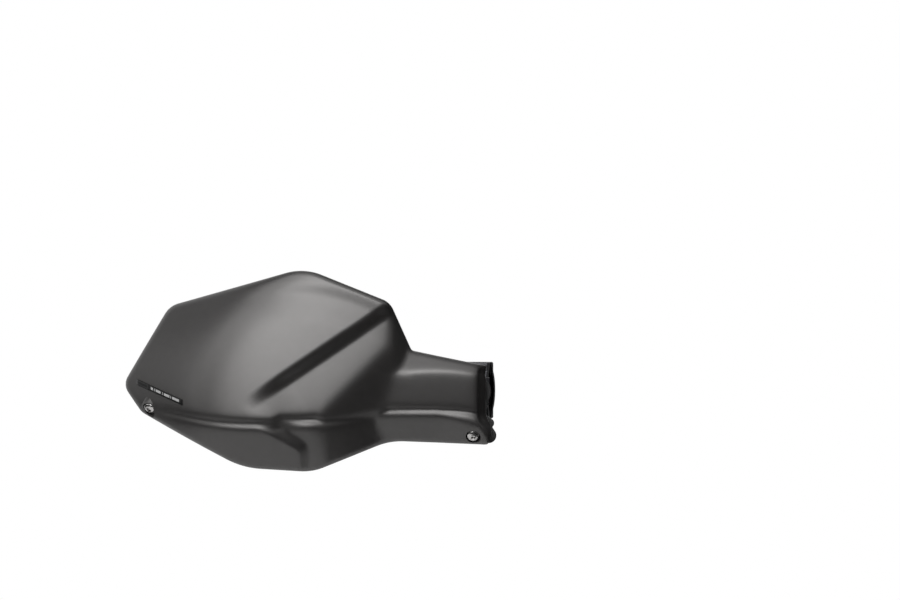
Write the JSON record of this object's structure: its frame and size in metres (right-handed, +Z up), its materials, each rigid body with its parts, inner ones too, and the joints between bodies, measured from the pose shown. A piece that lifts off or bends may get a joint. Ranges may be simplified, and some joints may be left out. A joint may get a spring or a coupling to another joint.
{
  "type": "motorcycle hand guard",
  "caption": "Moulded faceted hand guard shell for a motorcycle, carried by a cast arm at a handlebar clamp and a cast bracket at the bar end.",
  "frame": {"origin": "middle of the handlebar clamp's bore, on the handlebar's axis", "axes": "+X along the handlebar towards the middle of the motorcycle, -Y towards the front of the motorcycle, +Z up; right-hand guard"},
  "size_m": [0.2756, 0.1247, 0.1441],
  "materials": {
    "shell_plastic": "fine-grained matte black moulding",
    "badge_plastic": "plain glossy black strip with a few grey bars",
    "stainless": "turned stainless fasteners",
    "zinc_steel": "zinc plated washers, bushes and wedge",
    "grommet_rubber": "soft black rubber",
    "sleeve_rubber": "firm black rubber with moulding ribs",
    "arm_paint": "satin black powder coat on cast aluminium",
    "clamp_anodised": "black anodised aluminium",
    "weight_paint": "turned steel, satin black coat"
  },
  "bodies": {
    "root": {"guard_shell": "shell_plastic", "side_badge": "badge_plastic", "inner_shell_screw": "stainless", "inner_bush": "zinc_steel", "inner_grommet": "grommet_rubber", "outer_shell_screw": "stainless", "outer_bush": "zinc_steel", "outer_grommet": "grommet_rubber", "inner_arm": "arm_paint", "arm_bolt": "stainless", "arm_washer": "zinc_steel", "clamp_front": "clamp_anodised", "clamp_rear": "clamp_anodised", "clamp_screw_upper": "stainless", "clamp_screw_lower": "stainless", "clamp_washer_upper": "zinc_steel", "clamp_washer_lower": "zinc_steel", "outer_bracket": "arm_paint", "bar_end_weight": "weight_paint", "bar_end_washer": "zinc_steel", "bar_end_bolt": "stainless", "expander_washer": "zinc_steel", "expander_sleeve": "sleeve_rubber", "expander_wedge": "zinc_steel"}
  },
  "joints": []
}
